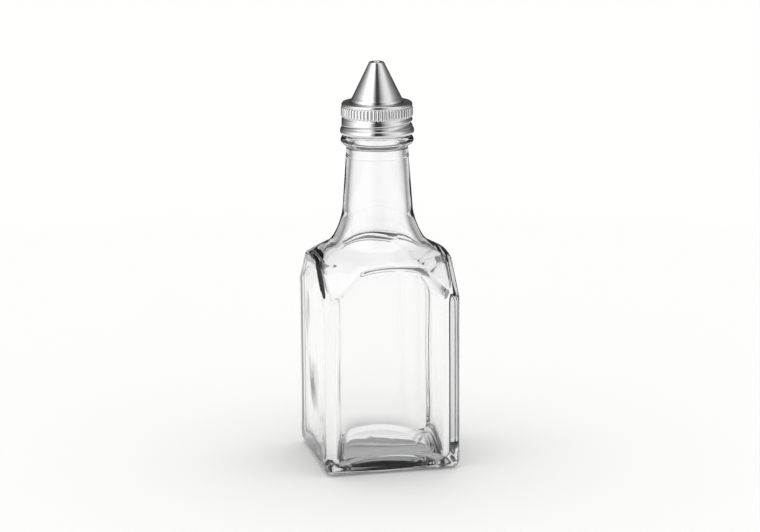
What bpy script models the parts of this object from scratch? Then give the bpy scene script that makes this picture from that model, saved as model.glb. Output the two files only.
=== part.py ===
"""Square glass oil cruet with a threaded metal band and a conical pour spout.

Four separate pieces: the glass bottle, the knurled screw band, the pour cone that the band
holds down by its flange, and the sealing gasket between that flange and the glass lip.

The origin is at the middle of the underside. +Z is up, -Y is the front panel, and the
bottle's axis is the Z axis. Sizes below are in millimetres; MM turns them into metres.
"""
import math

import bmesh
import bpy

MM = 0.001

# ---- clearances between neighbouring pieces
GAP = 0.3
THREAD_GAP = 0.35
SKIRT_GAP = 0.65
COLLAR_GAP = 0.4
FLANGE_SIDE_GAP = 1.25

# ---- glass body: square prism with cut-off shoulders
BODY_SIDE = 57.0
CORNER_RADIUS = 3.5
HEEL_RADIUS = 3.0
FACET_FOOT_Z = 72.1
FACET_RISE = 15.1
FACET_REACH = 16.1
SHOULDER_SLOPE = 0.53
EDGE_BLEND = 2.6
FACET_BLEND = 1.2
HALF_SIDE = BODY_SIDE / 2.0
BAR_HALF_LENGTH = HALF_SIDE - FACET_REACH
BAR_PEAK_Z = FACET_FOOT_Z + FACET_RISE

# ---- threaded finish: radii, which the neck, the band and the cone all follow
ROOT_RADIUS = 12.75
FINISH_WALL = 3.15
BORE_RADIUS = ROOT_RADIUS - FINISH_WALL
BORE_ROUND = 0.6
LIP_ROUND = 0.75

# ---- turned shoulder and neck
NECK_WAIST = 0.1
NECK_TAPER = 1.85
NECK_LENGTH = 25.5
FLARE_WIDTH = 7.0
FLARE_HEIGHT = 14.59
FLARE_LOW_REACH = 3.5
FLARE_HIGH_REACH = 4.5
FLARE_HIGH_LEAN = 0.5
NECK_TOP_RADIUS = ROOT_RADIUS - NECK_WAIST
NECK_FOOT_RADIUS = NECK_TOP_RADIUS + NECK_TAPER
FLARE_FOOT_RADIUS = NECK_FOOT_RADIUS + FLARE_WIDTH
FLARE_FOOT_Z = BAR_PEAK_Z + (HALF_SIDE - FLARE_FOOT_RADIUS) * SHOULDER_SLOPE
NECK_FOOT_Z = FLARE_FOOT_Z + FLARE_HEIGHT
NECK_TOP_Z = NECK_FOOT_Z + NECK_LENGTH

# ---- bead under the band, and the finish's height
BEAD_OUTSTAND = 2.25
BEAD_HEIGHT = 5.0
BEAD_COVE = 1.3
BEAD_NOSE = 2.2
BEAD_CROWN_DROP = 1.5
BEAD_TOP_ROUND = 0.8
FINISH_HEIGHT = 10.7
BEAD_RADIUS = ROOT_RADIUS + BEAD_OUTSTAND
BEAD_TOP_Z = NECK_TOP_Z + BEAD_HEIGHT
LIP_Z = BEAD_TOP_Z + FINISH_HEIGHT

# ---- thread, right-handed, single start
THREAD_PITCH = 4.233
THREAD_HEIGHT = 1.05
THREAD_BASE = 2.3
THREAD_CREST = 0.9
THREAD_FOOT_LAND = 3.0
THREAD_HEAD_LAND = 0.3
THREAD_START_ANGLE = math.radians(-28.0)
THREAD_FADE_TURNS = 0.08
THREAD_START_Z = BEAD_TOP_Z + THREAD_FOOT_LAND
THREAD_END_Z = LIP_Z - LIP_ROUND - THREAD_HEAD_LAND - THREAD_BASE / 2.0
THREAD_TURNS = (THREAD_END_Z - THREAD_START_Z) / THREAD_PITCH

# ---- glass walls, base and cavity
WALL = 3.1
NECK_WALL = 2.2
SHOULDER_DROP = 2.2
CAVITY_CORNER = 7.5
CAVITY_BLEND = 4.0
CAVITY_ARCH_DEPTH = 6.0
BORE_STEP_TOP = 2.0
BORE_STEP_FOOT = 1.0
FLOOR_EDGE_Z = 6.4
FLOOR_DOME = 4.6
FLOOR_FILLET = 3.5
FLOOR_REACH = HALF_SIDE - WALL - FLOOR_FILLET
STANDING_WIDTH = 4.0
PUSH_UP_RADIUS = HALF_SIDE - HEEL_RADIUS - STANDING_WIDTH
PUSH_UP_HEIGHT = 5.0

# ---- gasket on the lip, then the cone's flange on the gasket
CONE_SHEET = 0.5
GASKET_THICKNESS = 1.3
GASKET_INSET = 0.3
GASKET_INNER = BORE_RADIUS + GASKET_INSET
GASKET_OUTER = ROOT_RADIUS
GASKET_UNDER_Z = LIP_Z + GAP
GASKET_TOP_Z = GASKET_UNDER_Z + GASKET_THICKNESS
FLANGE_UNDER_Z = GASKET_TOP_Z + GAP
FLANGE_TOP_Z = FLANGE_UNDER_Z + CONE_SHEET

# ---- screw band, rolled from thin sheet, over the flange and round the thread
SHEET = 0.4
BAND_INNER_RADIUS = ROOT_RADIUS + THREAD_HEIGHT + THREAD_GAP
BAND_RADIUS = BAND_INNER_RADIUS + SHEET
BAND_TOP_Z = FLANGE_TOP_Z + GAP + SHEET
HEM_RADIUS = 0.8
HEM_HALF_HEIGHT = 1.4
HEM_OUTSTAND = 0.65
HEM_CENTRE_RADIUS = BAND_RADIUS + HEM_OUTSTAND - HEM_RADIUS
HEM_Z = BEAD_TOP_Z + SKIRT_GAP + HEM_HALF_HEIGHT
SKIRT_FOOT_Z = HEM_Z + HEM_HALF_HEIGHT
KNURL_RIBS = 56
KNURL_DEPTH = 0.25
KNURL_OUTSTAND = 0.15
KNURL_HEIGHT = 4.4
KNURL_HEAD_DROP = 1.6
KNURL_RAMP = 0.35
KNURL_LAND = 0.2
KNURL_CREST_RADIUS = BAND_RADIUS + KNURL_OUTSTAND
KNURL_HEAD_Z = BAND_TOP_Z - KNURL_HEAD_DROP
KNURL_FOOT_Z = KNURL_HEAD_Z - KNURL_HEIGHT
GROOVE_DEPTH = 0.65
GROOVE_BASE = 1.7
GROOVE_FLOOR = 0.6
GROOVE_HEAD_LAND = 0.55
GROOVE_START_Z = THREAD_START_Z - THREAD_PITCH / 2.0
GROOVE_END_Z = KNURL_FOOT_Z - GROOVE_HEAD_LAND - GROOVE_BASE / 2.0
GROOVE_TURNS = (GROOVE_END_Z - GROOVE_START_Z) / THREAD_PITCH
RIM_ROUND = 1.0
DISH_DEPTH = 0.15
DISH_RAMP = 0.5
ROLL_RADIUS = 0.4

# ---- pour cone above the band
CONE_INSET = 0.2
CONE_HEIGHT = 15.65
COLLAR_RISE = 0.85
POUR_HOLE_RADIUS = 1.58
TIP_ROLL = 0.85
TIP_SHOULDER = 0.085
TIP_DEPTH = 1.2
FLANGE_FILLET = 0.3
CONE_FOOT_RADIUS = GASKET_INNER + CONE_INSET + CONE_SHEET
CONE_FOOT_Z = BAND_TOP_Z + COLLAR_RISE
TIP_Z = CONE_FOOT_Z + CONE_HEIGHT
ROLL_CENTRE_RADIUS = POUR_HOLE_RADIUS + TIP_ROLL
ROLL_CENTRE_Z = TIP_Z - TIP_ROLL
CONE_HEAD_RADIUS = ROLL_CENTRE_RADIUS + TIP_ROLL + TIP_SHOULDER
CONE_LEAN = (CONE_FOOT_RADIUS - CONE_HEAD_RADIUS) / (ROLL_CENTRE_Z - CONE_FOOT_Z)
FLANGE_RADIUS = BAND_INNER_RADIUS - FLANGE_SIDE_GAP

# ---- mesh fineness
SIDE_RAYS = 10
CORNER_RAYS = 3
THREAD_RINGS = 12
SKIRT_RINGS = 10
CONE_SEGMENTS = 48
ARC_STEPS = 4


def clamp01(value):
    """Limit a value to the range from 0 to 1."""
    return max(0.0, min(1.0, value))


def soft_min(a, b, blend):
    """The smaller of two radii, eased over a blend distance where they cross."""
    share = max(blend - abs(a - b), 0.0) / blend
    return min(a, b) - share * share * blend / 4.0


def clear_scene():
    """Remove every object, so that the script can run again in the same file."""
    for old in list(bpy.data.objects):
        bpy.data.objects.remove(old, do_unlink=True)


def make_material(name, colour, roughness, metallic=0.0, transmission=0.0, ior=1.45):
    """A plain Principled material for one sub-part."""
    material = bpy.data.materials.new(name)
    material.use_nodes = True
    shader = material.node_tree.nodes["Principled BSDF"]
    shader.inputs["Base Color"].default_value = (*colour, 1.0)
    shader.inputs["Roughness"].default_value = roughness
    shader.inputs["Metallic"].default_value = metallic
    shader.inputs["Transmission Weight"].default_value = transmission
    shader.inputs["IOR"].default_value = ior
    material.diffuse_color = (*colour, 1.0)
    return material


# ---- rings of vertices and the faces between them


def add_ring(mesh, angles, radius_at, z_at):
    """One ring of vertices, from a radius and a height (or a rule for it) at each direction."""
    ring = []
    for angle in angles:
        z = z_at(angle) if callable(z_at) else z_at
        radius = radius_at(angle, z) * MM
        ring.append(mesh.verts.new((radius * math.cos(angle), radius * math.sin(angle), z * MM)))
    return ring


def round_ring(mesh, angles, radius, z):
    """One circular ring at one height."""
    return add_ring(mesh, angles, lambda angle, height: radius, z)


def bridge(mesh, first, second):
    """Join two rings with quads, or with three triangles a step where one is twice as fine."""
    if len(first) > len(second):
        first, second = second, first
    count = len(first)
    step = len(second) // count
    for i in range(count):
        a, b = first[i], first[(i + 1) % count]
        c = second[i * step]
        e = second[((i + 1) * step) % len(second)]
        if step == 1:
            mesh.faces.new((a, b, e, c))
            continue
        d = second[i * step + 1]
        mesh.faces.new((a, d, c))
        mesh.faces.new((a, b, d))
        mesh.faces.new((b, e, d))


def close_pole(mesh, ring, z):
    """Close a ring with a fan around one vertex on the axis."""
    pole = mesh.verts.new((0.0, 0.0, z * MM))
    for i, vertex in enumerate(ring):
        mesh.faces.new((pole, vertex, ring[(i + 1) % len(ring)]))


def finish_object(name, mesh, material, sharp_degrees):
    """Turn a bmesh into a smooth-shaded object with outward faces."""
    bmesh.ops.recalc_face_normals(mesh, faces=mesh.faces)
    data = bpy.data.meshes.new(name)
    mesh.to_mesh(data)
    mesh.free()
    data.materials.append(material)
    data.shade_smooth()
    data.set_sharp_from_angle(angle=math.radians(sharp_degrees))
    part = bpy.data.objects.new(name, data)
    bpy.context.collection.objects.link(part)
    return part


def even_angles(count):
    """Evenly spaced directions around the axis."""
    return [2.0 * math.pi * i / count for i in range(count)]


def arc(centre_r, centre_z, radius, start_degrees, end_degrees, steps):
    """Points (radius from axis, height) along an arc in the section plane."""
    points = []
    for i in range(steps + 1):
        angle = math.radians(start_degrees + (end_degrees - start_degrees) * i / steps)
        points.append((centre_r + radius * math.cos(angle), centre_z + radius * math.sin(angle)))
    return points


def turned_loop(name, section, count, material, sharp_degrees):
    """A ring-shaped solid: a closed section of (radius, height) points turned about Z."""
    mesh = bmesh.new()
    angles = even_angles(count)
    rings = [round_ring(mesh, angles, r, z) for r, z in section]
    for i, ring in enumerate(rings):
        bridge(mesh, ring, rings[(i + 1) % len(rings)])
    return finish_object(name, mesh, material, sharp_degrees)


# ---- outlines of the glass body, as a radius along a direction


def fold(angle):
    """Fold a direction into the half-quadrant from a face's middle to a corner."""
    quarter = math.pi / 2.0
    angle = angle % quarter
    return min(angle, quarter - angle)


def square_radius(angle, half, corner):
    """Distance from the axis to a square with rounded corners."""
    a = fold(angle)
    centre = half - corner
    if half * math.tan(a) <= centre:
        return half / math.cos(a)
    along = centre * (math.cos(a) + math.sin(a))
    return along + math.sqrt(along * along - 2.0 * centre * centre + corner * corner)


def cone_z(radius):
    """Height of the shoulder's straight slope at a radius."""
    return BAR_PEAK_Z + (HALF_SIDE - radius) * SHOULDER_SLOPE


def facet_lean():
    """How far the corner facet leans in for each millimetre of height, and its foot distance."""
    foot = (HALF_SIDE - CORNER_RADIUS) * math.sqrt(2.0) + CORNER_RADIUS
    head = (HALF_SIDE + BAR_HALF_LENGTH) / math.sqrt(2.0)
    bar_end_z = cone_z(math.hypot(HALF_SIDE, BAR_HALF_LENGTH))
    return (foot - head) / (bar_end_z - FACET_FOOT_Z), foot


def facet_distance(z, inset):
    """Distance from the axis to the plane that cuts each corner off, moved in by inset."""
    lean, foot = facet_lean()
    return foot - lean * (z - FACET_FOOT_Z) - inset * math.hypot(1.0, lean)


def facet_radius(angle, z, inset):
    """The same plane along a direction; above the shoulder's edge it cuts nothing more."""
    distance = facet_distance(min(z, BAR_PEAK_Z), inset)
    return distance / math.cos(math.pi / 4.0 - fold(angle))


def shoulder_edge_z(angle):
    """Height of the edge where the upright walls or the facets meet the turned shoulder."""
    lean, foot = facet_lean()
    on_face = cone_z(HALF_SIDE / math.cos(fold(angle)))
    reach = math.cos(math.pi / 4.0 - fold(angle))
    level = cone_z(0.0) - SHOULDER_SLOPE * (foot + lean * FACET_FOOT_Z) / reach
    on_facet = level / (1.0 - SHOULDER_SLOPE * lean / reach)
    return max(on_face, on_facet)


def flare_point(t):
    """A point (radius, height) on the curve from the shoulder up into the neck."""
    foot = (FLARE_FOOT_RADIUS, FLARE_FOOT_Z)
    low = (foot[0] - FLARE_LOW_REACH, foot[1] + FLARE_LOW_REACH * SHOULDER_SLOPE)
    high = (NECK_FOOT_RADIUS + FLARE_HIGH_LEAN, NECK_FOOT_Z - FLARE_HIGH_REACH)
    pulls = (foot, low, high, (NECK_FOOT_RADIUS, NECK_FOOT_Z))
    weights = ((1 - t) ** 3, 3 * t * (1 - t) ** 2, 3 * t * t * (1 - t), t ** 3)
    return tuple(sum(w * p[k] for w, p in zip(weights, pulls)) for k in (0, 1))


def turned_radius(z):
    """Radius of the turned shoulder, flare and neck at a height."""
    if z <= FLARE_FOOT_Z:
        return HALF_SIDE + (BAR_PEAK_Z - z) / SHOULDER_SLOPE
    if z >= NECK_FOOT_Z:
        return NECK_FOOT_RADIUS - NECK_TAPER * (z - NECK_FOOT_Z) / NECK_LENGTH
    low, high = 0.0, 1.0
    for _ in range(40):
        middle = (low + high) / 2.0
        if flare_point(middle)[1] < z:
            low = middle
        else:
            high = middle
    return flare_point(low)[0]


def outer_radius(angle, z):
    """The outside of body, shoulder and neck."""
    square = square_radius(angle, HALF_SIDE, CORNER_RADIUS)
    walls = soft_min(square, facet_radius(angle, z, 0.0), FACET_BLEND)
    return soft_min(walls, turned_radius(z), EDGE_BLEND)


def inner_radius(angle, z):
    """The cavity of body, shoulder and neck, with softer edges than the outside."""
    square = square_radius(angle, HALF_SIDE - WALL, CAVITY_CORNER)
    walls = soft_min(square, facet_radius(angle, z, WALL), CAVITY_BLEND)
    turned = turned_radius(z + SHOULDER_DROP) - NECK_WALL
    return soft_min(walls, turned, CAVITY_BLEND)


# ---- thread, shared by the glass finish and the band


def thread_share(angle, z, start_z, base, crest, turns):
    """How much of a thread's height stands at a direction and height, from 0 to 1."""
    turn = ((angle - THREAD_START_ANGLE) / (2.0 * math.pi)) % 1.0
    best = 0.0
    while turn <= turns:
        offset = abs(z - start_z - THREAD_PITCH * turn)
        flank = clamp01((base / 2.0 - offset) / ((base - crest) / 2.0))
        fade = clamp01(min(turn, turns - turn) / THREAD_FADE_TURNS)
        best = max(best, flank * fade)
        turn += 1.0
    return best


def finish_radius(angle, z):
    """The glass finish: its root cylinder with the moulded thread on it."""
    share = thread_share(angle, z, THREAD_START_Z, THREAD_BASE, THREAD_CREST, THREAD_TURNS)
    return ROOT_RADIUS + THREAD_HEIGHT * share


def groove_share(angle, z):
    """The rolled groove of the band, which runs midway between the glass thread's turns."""
    return thread_share(angle, z, GROOVE_START_Z, GROOVE_BASE, GROOVE_FLOOR, GROOVE_TURNS)


# ---- the four pieces


def split_directions(edge):
    """Directions shared out between four sides, each edge wide either way, and four corners."""
    corner = math.pi / 2.0 - 2.0 * edge
    angles = []
    for quarter in range(4):
        start = quarter * math.pi / 2.0
        angles += [start - edge + 2.0 * edge * i / SIDE_RAYS for i in range(SIDE_RAYS + 1)]
        angles += [start + edge + corner * i / (CORNER_RAYS + 1) for i in range(1, CORNER_RAYS + 1)]
    return angles


def even_edge():
    """Half the angle of a side that spaces all the directions nearly evenly, for round rings."""
    return math.pi / 4.0 * SIDE_RAYS / (SIDE_RAYS + CORNER_RAYS + 1)


def wall_edge(z_at):
    """Half the angle of a flat side: to its corner round, or to the facet that cuts it."""
    flat = HALF_SIDE - CORNER_RADIUS
    edge = math.atan(flat / HALF_SIDE)
    for _ in range(12):
        cut = facet_distance(z_at(edge), 0.0) * math.sqrt(2.0) - HALF_SIDE
        edge = math.atan(min(flat, cut) / HALF_SIDE)
    return edge


def between(low, high, steps):
    """Evenly spaced values after low, up to and including high."""
    return [low + (high - low) * i / steps for i in range(1, steps + 1)]


def underside_rings(mesh, angles):
    """Rings over the push-up, the flat standing ring and the rounded heel."""
    rings = []
    for r, z in arc(0.0, 0.0, 1.0, 90.0, 30.0, 2)[1:]:
        rings.append(round_ring(mesh, angles, PUSH_UP_RADIUS * r, PUSH_UP_HEIGHT * z))
    rings.append(round_ring(mesh, angles, PUSH_UP_RADIUS, 0.0))
    for r, z in arc(HALF_SIDE - HEEL_RADIUS, HEEL_RADIUS, HEEL_RADIUS, -90.0, 0.0, ARC_STEPS):
        corner = CORNER_RADIUS - (HALF_SIDE - r)
        rings.append(add_ring(mesh, angles, lambda a, h, k=r, c=corner: square_radius(a, k, c), z))
    return rings


def wall_rings(mesh):
    """Rings up the walls and facets and over the shoulder's edge, which they follow."""
    rings = []
    for share in [0.0] + between(0.0, 0.8, 3) + between(0.8, 1.0, 3):
        def height(angle, k=share):
            return FACET_FOOT_Z + k * (shoulder_edge_z(angle) - FACET_FOOT_Z)
        rings.append(add_ring(mesh, split_directions(wall_edge(height)), outer_radius, height))
    return rings


def shoulder_rings(mesh):
    """Rings from the shoulder's edge up the slope and the flare to the top of the neck."""
    bar = wall_edge(shoulder_edge_z)
    even = even_edge()
    rings = []
    for share in between(0.0, 0.3, 2) + between(0.3, 1.0, 2):
        def height(angle, k=share):
            return shoulder_edge_z(angle) + k * (FLARE_FOOT_Z - shoulder_edge_z(angle))
        angles = split_directions(bar + (even - bar) * share)
        rings.append(add_ring(mesh, angles, outer_radius, height))
    for z in between(FLARE_FOOT_Z, NECK_FOOT_Z, 6) + [NECK_TOP_Z]:
        rings.append(add_ring(mesh, split_directions(even), outer_radius, z))
    return rings


def finish_rings(mesh, angles):
    """Rings over the bead, up the threaded finish, over the lip and down the bore."""
    crown_z = BEAD_TOP_Z - BEAD_CROWN_DROP
    edge_r, edge_z = BEAD_RADIUS - BEAD_TOP_ROUND, BEAD_TOP_Z - BEAD_TOP_ROUND
    points = arc(NECK_TOP_RADIUS + BEAD_COVE, NECK_TOP_Z, BEAD_COVE, 150.0, 120.0, 1)
    points += arc(BEAD_RADIUS - BEAD_NOSE, crown_z, BEAD_NOSE, -60.0, 0.0, 2)
    points += arc(edge_r, edge_z, BEAD_TOP_ROUND, 45.0, 90.0, 1)
    points += [(ROOT_RADIUS, BEAD_TOP_Z)]
    rings = [round_ring(mesh, angles, r, z) for r, z in points]
    thread_foot = THREAD_START_Z - THREAD_BASE / 2.0
    thread_head = THREAD_END_Z + THREAD_BASE / 2.0
    for z in [thread_foot] + between(thread_foot, thread_head, THREAD_RINGS - 1):
        rings.append(add_ring(mesh, angles, finish_radius, z))
    points = arc(ROOT_RADIUS - LIP_ROUND, LIP_Z - LIP_ROUND, LIP_ROUND, 0.0, 90.0, 2)
    points += arc(BORE_RADIUS + BORE_ROUND, LIP_Z - BORE_ROUND, BORE_ROUND, 90.0, 180.0, 2)
    points += [(BORE_RADIUS, NECK_TOP_Z + BORE_STEP_TOP)]
    rings += [round_ring(mesh, angles, r, z) for r, z in points]
    return rings


def floor_z(radius):
    """Height of the domed cavity floor, which falls away from the axis towards the corners."""
    return FLOOR_EDGE_Z + FLOOR_DOME * (1.0 - (radius / FLOOR_REACH) ** 2)


def fillet_foot(angle):
    """Where the floor meets the fillet round its edge."""
    return square_radius(angle, FLOOR_REACH, CAVITY_CORNER - FLOOR_FILLET)


def inside_rings(mesh, angles):
    """Rings down the cavity, round the fillet at the foot of its walls and over its floor."""
    heights = [NECK_TOP_Z - BORE_STEP_FOOT, NECK_FOOT_Z]
    heights += between(NECK_FOOT_Z, FLARE_FOOT_Z, 4)
    heights += between(FLARE_FOOT_Z, BAR_PEAK_Z - CAVITY_ARCH_DEPTH, 5)
    heights += [FACET_FOOT_Z - SHOULDER_DROP, FACET_FOOT_Z / 2.0]
    rings = [add_ring(mesh, angles, inner_radius, z) for z in heights]
    for out, up in arc(0.0, 0.0, FLOOR_FILLET, 0.0, -90.0, ARC_STEPS):
        def outline(angle, z, k=out):
            return square_radius(angle, FLOOR_REACH + k, CAVITY_CORNER - FLOOR_FILLET + k)

        def height(angle, k=up):
            return floor_z(fillet_foot(angle)) + FLOOR_FILLET + k
        rings.append(add_ring(mesh, angles, outline, height))
    for share in (0.7, 0.35):
        def reach(angle, z=None, k=share):
            return k * (k * fillet_foot(angle) + (1.0 - k) * FLOOR_REACH)
        rings.append(add_ring(mesh, angles, reach, lambda a, f=reach: floor_z(f(a))))
    return rings


def build_bottle():
    """The glass bottle: one closed skin, open into its cavity through the bore."""
    mesh = bmesh.new()
    sides = split_directions(math.atan((HALF_SIDE - CORNER_RADIUS) / HALF_SIDE))
    even = split_directions(even_edge())
    rings = underside_rings(mesh, sides)
    rings += wall_rings(mesh)
    rings += shoulder_rings(mesh)
    rings += finish_rings(mesh, even)
    rings += inside_rings(mesh, sides)
    close_pole(mesh, rings[0], PUSH_UP_HEIGHT)
    for lower, upper in zip(rings, rings[1:]):
        bridge(mesh, lower, upper)
    close_pole(mesh, rings[-1], floor_z(0.0))
    glass = make_material("soda_lime_glass", (0.93, 0.95, 0.94), 0.02, transmission=1.0, ior=1.52)
    return finish_object("glass_bottle", mesh, glass, 40.0)


def knurl_rings(mesh):
    """The grip: rings twice as fine as the skirt's, with every second vertex on a rib."""
    angles = even_angles(2 * KNURL_RIBS)
    valley = KNURL_CREST_RADIUS - KNURL_DEPTH
    pitch = math.pi / KNURL_RIBS

    def ribbed(angle, z):
        on_rib = round(angle / pitch) % 2 == 1
        return KNURL_CREST_RADIUS if on_rib else valley

    rings = [round_ring(mesh, angles, valley, KNURL_FOOT_Z)]
    rings.append(add_ring(mesh, angles, ribbed, KNURL_FOOT_Z + KNURL_RAMP))
    rings.append(add_ring(mesh, angles, ribbed, KNURL_HEAD_Z - KNURL_RAMP))
    rings.append(round_ring(mesh, angles, valley, KNURL_HEAD_Z))
    return rings


def top_section():
    """The band's rim, dished top and the rolled edge round its hole, as (radius, height)."""
    rim = BAND_RADIUS - RIM_ROUND
    hole = CONE_FOOT_RADIUS + COLLAR_GAP
    section = arc(rim, BAND_TOP_Z - RIM_ROUND, RIM_ROUND, 0.0, 90.0, 3)
    section += [(rim - DISH_RAMP, BAND_TOP_Z - DISH_DEPTH)]
    section += [(hole + 2.0 * ROLL_RADIUS + DISH_RAMP, BAND_TOP_Z - DISH_DEPTH)]
    section += arc(hole + ROLL_RADIUS, BAND_TOP_Z - ROLL_RADIUS, ROLL_RADIUS, 60.0, 180.0, 3)
    section += [(hole, BAND_TOP_Z - SHEET), (rim, BAND_TOP_Z - SHEET)]
    section += [(BAND_INNER_RADIUS, BAND_TOP_Z - RIM_ROUND)]
    return section


def build_band():
    """The screw band: hemmed skirt with a rolled thread groove, knurled grip, open top."""
    mesh = bmesh.new()
    angles = even_angles(KNURL_RIBS)

    def grooved_ring(radius, z):
        return add_ring(mesh, angles, lambda a, h: radius - GROOVE_DEPTH * groove_share(a, h), z)

    heights = [SKIRT_FOOT_Z] + between(SKIRT_FOOT_Z, KNURL_FOOT_Z - KNURL_LAND, SKIRT_RINGS - 1)
    rings = [round_ring(mesh, angles, BAND_INNER_RADIUS, HEM_Z - HEM_HALF_HEIGHT / 2.0)]
    for out, up in arc(0.0, 0.0, 1.0, -90.0, 60.0, 5):
        hem_r, hem_z = HEM_CENTRE_RADIUS + HEM_RADIUS * out, HEM_Z + HEM_HALF_HEIGHT * up
        rings.append(round_ring(mesh, angles, hem_r, hem_z))
    rings += [grooved_ring(BAND_RADIUS, z) for z in heights]
    rings += knurl_rings(mesh)
    rings += [round_ring(mesh, angles, r, z) for r, z in top_section()]
    rings += [round_ring(mesh, angles, BAND_INNER_RADIUS, KNURL_FOOT_Z + RIM_ROUND)]
    rings += [grooved_ring(BAND_INNER_RADIUS, z) for z in reversed(heights)]
    for i, ring in enumerate(rings):
        bridge(mesh, ring, rings[(i + 1) % len(rings)])
    steel = make_material("bright_steel", (0.62, 0.62, 0.63), 0.22, metallic=1.0)
    return finish_object("screw_band", mesh, steel, 35.0)


def build_cone():
    """The pour cone: rolled tip, straight side, short collar and the flange under the band."""
    inner_foot = CONE_FOOT_RADIUS - CONE_SHEET
    slant = CONE_SHEET * math.hypot(1.0, CONE_LEAN)
    section = arc(ROLL_CENTRE_RADIUS, ROLL_CENTRE_Z, TIP_ROLL, 205.0, 25.0, 5)
    section += [(CONE_FOOT_RADIUS, CONE_FOOT_Z), (CONE_FOOT_RADIUS, FLANGE_TOP_Z + FLANGE_FILLET)]
    section += [(CONE_FOOT_RADIUS + FLANGE_FILLET, FLANGE_TOP_Z), (FLANGE_RADIUS, FLANGE_TOP_Z)]
    section += [(FLANGE_RADIUS, FLANGE_UNDER_Z), (inner_foot + FLANGE_FILLET, FLANGE_UNDER_Z)]
    section += [(inner_foot, FLANGE_UNDER_Z + FLANGE_FILLET), (inner_foot, CONE_FOOT_Z)]
    section += [(CONE_HEAD_RADIUS + TIP_DEPTH * CONE_LEAN - slant, ROLL_CENTRE_Z - TIP_DEPTH)]
    steel = make_material("brushed_steel", (0.66, 0.66, 0.67), 0.3, metallic=1.0)
    return turned_loop("pour_cone", section, CONE_SEGMENTS, steel, 35.0)


def build_gasket():
    """The flat sealing ring that the cone's flange presses on the glass lip."""
    section = [(GASKET_INNER, GASKET_UNDER_Z), (GASKET_OUTER, GASKET_UNDER_Z)]
    section += [(GASKET_OUTER, GASKET_TOP_Z), (GASKET_INNER, GASKET_TOP_Z)]
    rubber = make_material("pale_silicone", (0.78, 0.78, 0.76), 0.55)
    return turned_loop("sealing_gasket", section, CONE_SEGMENTS, rubber, 35.0)


def add_guide(name, location):
    """An empty that marks a joint's axis."""
    guide = bpy.data.objects.new(name, None)
    guide.location = location
    bpy.context.collection.objects.link(guide)
    return guide


def main():
    clear_scene()
    build_bottle()
    cap_lift = add_guide("cap_lift_axis", (0.0, 0.0, LIP_Z * MM))
    cap_turn = add_guide("cap_turn_axis", (0.0, 0.0, 0.0))
    cap_turn.parent = cap_lift
    followers = {build_cone(): cap_lift, build_gasket(): cap_lift, build_band(): cap_turn}
    bpy.context.view_layer.update()
    for part, guide in followers.items():
        part.parent = guide
        part.matrix_parent_inverse = guide.matrix_world.inverted()


main()
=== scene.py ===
# %% [markdown]
# # A square glass oil cruet, with its threaded band and pour spout
#
# The bottle on the table is four things: one piece of moulded glass, a knurled metal band that
# screws onto its neck, a spun metal cone that the band clamps down, and a soft ring that seals
# the two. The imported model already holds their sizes, places and motion, so this lesson only
# gives them their fine shape and their surface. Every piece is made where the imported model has
# its own, rides on the same body, and stands in for the plain one when the scene is rendered.

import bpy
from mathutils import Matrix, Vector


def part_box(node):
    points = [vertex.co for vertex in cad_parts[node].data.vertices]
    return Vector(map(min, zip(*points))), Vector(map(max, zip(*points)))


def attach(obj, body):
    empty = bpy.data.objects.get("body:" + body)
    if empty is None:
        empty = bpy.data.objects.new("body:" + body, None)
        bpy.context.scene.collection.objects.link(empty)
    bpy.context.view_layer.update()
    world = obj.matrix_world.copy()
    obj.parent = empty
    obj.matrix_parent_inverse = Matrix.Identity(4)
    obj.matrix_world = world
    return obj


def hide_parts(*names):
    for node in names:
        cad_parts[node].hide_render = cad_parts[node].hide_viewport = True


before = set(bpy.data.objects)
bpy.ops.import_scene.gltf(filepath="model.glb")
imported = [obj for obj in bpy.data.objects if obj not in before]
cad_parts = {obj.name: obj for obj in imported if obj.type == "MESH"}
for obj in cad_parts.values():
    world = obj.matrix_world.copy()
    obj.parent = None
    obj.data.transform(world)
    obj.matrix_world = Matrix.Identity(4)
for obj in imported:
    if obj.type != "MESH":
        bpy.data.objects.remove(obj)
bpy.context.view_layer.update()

# %% Tools of Blender and Python that the lesson uses
import math

import bpy
import numpy as np
from mathutils import Quaternion, Vector

MM = 0.001
TURN = 2.0 * math.pi

glass_low, glass_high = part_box("glass_bottle")
band_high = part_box("screw_band")[1]
cone_low, cone_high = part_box("pour_cone")
gasket_low, gasket_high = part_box("sealing_gasket")
SIDE = (glass_high.x - glass_low.x) / MM
LIP_Z = glass_high.z / MM
BAND_TOP_Z = band_high.z / MM
TIP_Z = cone_high.z / MM
print(f"base {SIDE:.1f} mm square, lip at {LIP_Z:.1f}, band top {BAND_TOP_Z:.1f}, tip {TIP_Z:.1f}")

# %% [markdown]
# ## Camera
#
# A long lens used from well back keeps a bottle's upright edges nearly parallel. The camera stands
# about a metre away, a little to the left of the front panel and a little above it, and is tilted
# by a fraction of a degree, as a hand-levelled tripod is.

# %% Camera
CAMERA_AZIMUTH = math.radians(-12.06)
CAMERA_HEIGHT_ANGLE = math.radians(12.8)
CAMERA_ROLL = math.radians(0.42)
CAMERA_DISTANCE = 1.1
LENS_MM = 125.7
CLIP_END = 20.0
AIM_Z = 0.0808
AIM_ASIDE = 0.0008

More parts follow.
